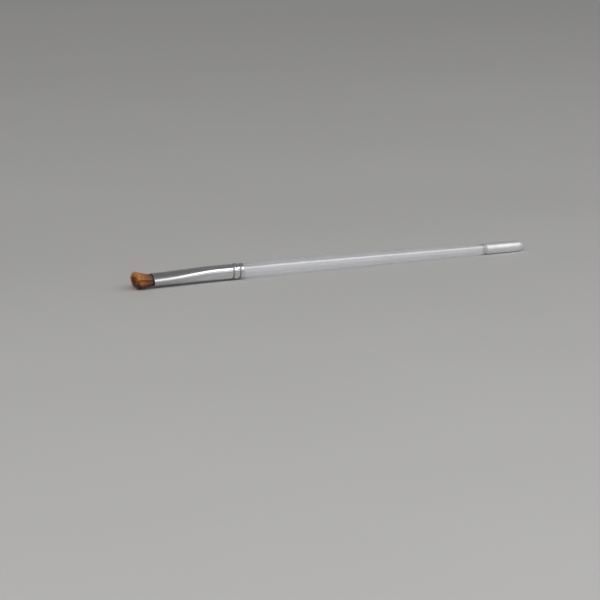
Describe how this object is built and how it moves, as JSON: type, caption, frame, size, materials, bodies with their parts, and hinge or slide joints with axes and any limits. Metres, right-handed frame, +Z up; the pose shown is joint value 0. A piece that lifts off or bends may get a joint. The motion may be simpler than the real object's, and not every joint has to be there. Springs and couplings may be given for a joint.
{
  "type": "fine detail brush",
  "caption": "Small hobby brush with a short splayed hair tuft in a crimped metal ferrule, on a clear tapered handle with a rounded metal end cap.",
  "frame": {"origin": "on the surface the brush lies on, below the middle of its length and width", "axes": "+X along the brush from the hair to the end cap, +Z up, +Y across; the wide way of the ferrule's mouth is turned 14 degrees from Y about the brush"},
  "size_m": [0.2006, 0.0099, 0.0085],
  "materials": {
    "hair": "satin",
    "thread": "matte",
    "resin": "gloss",
    "plated_tube": "polished",
    "clear_glue": "gloss",
    "clear_acrylic": "polished",
    "dark_glue": "satin",
    "bright_metal": "polished"
  },
  "bodies": {
    "root": {"hair_tuft": "hair", "binding_thread": "thread", "root_plug": "resin", "ferrule": "plated_tube", "tenon_adhesive": "clear_glue", "handle": "clear_acrylic", "cap_adhesive": "dark_glue", "end_cap": "bright_metal"}
  },
  "joints": []
}
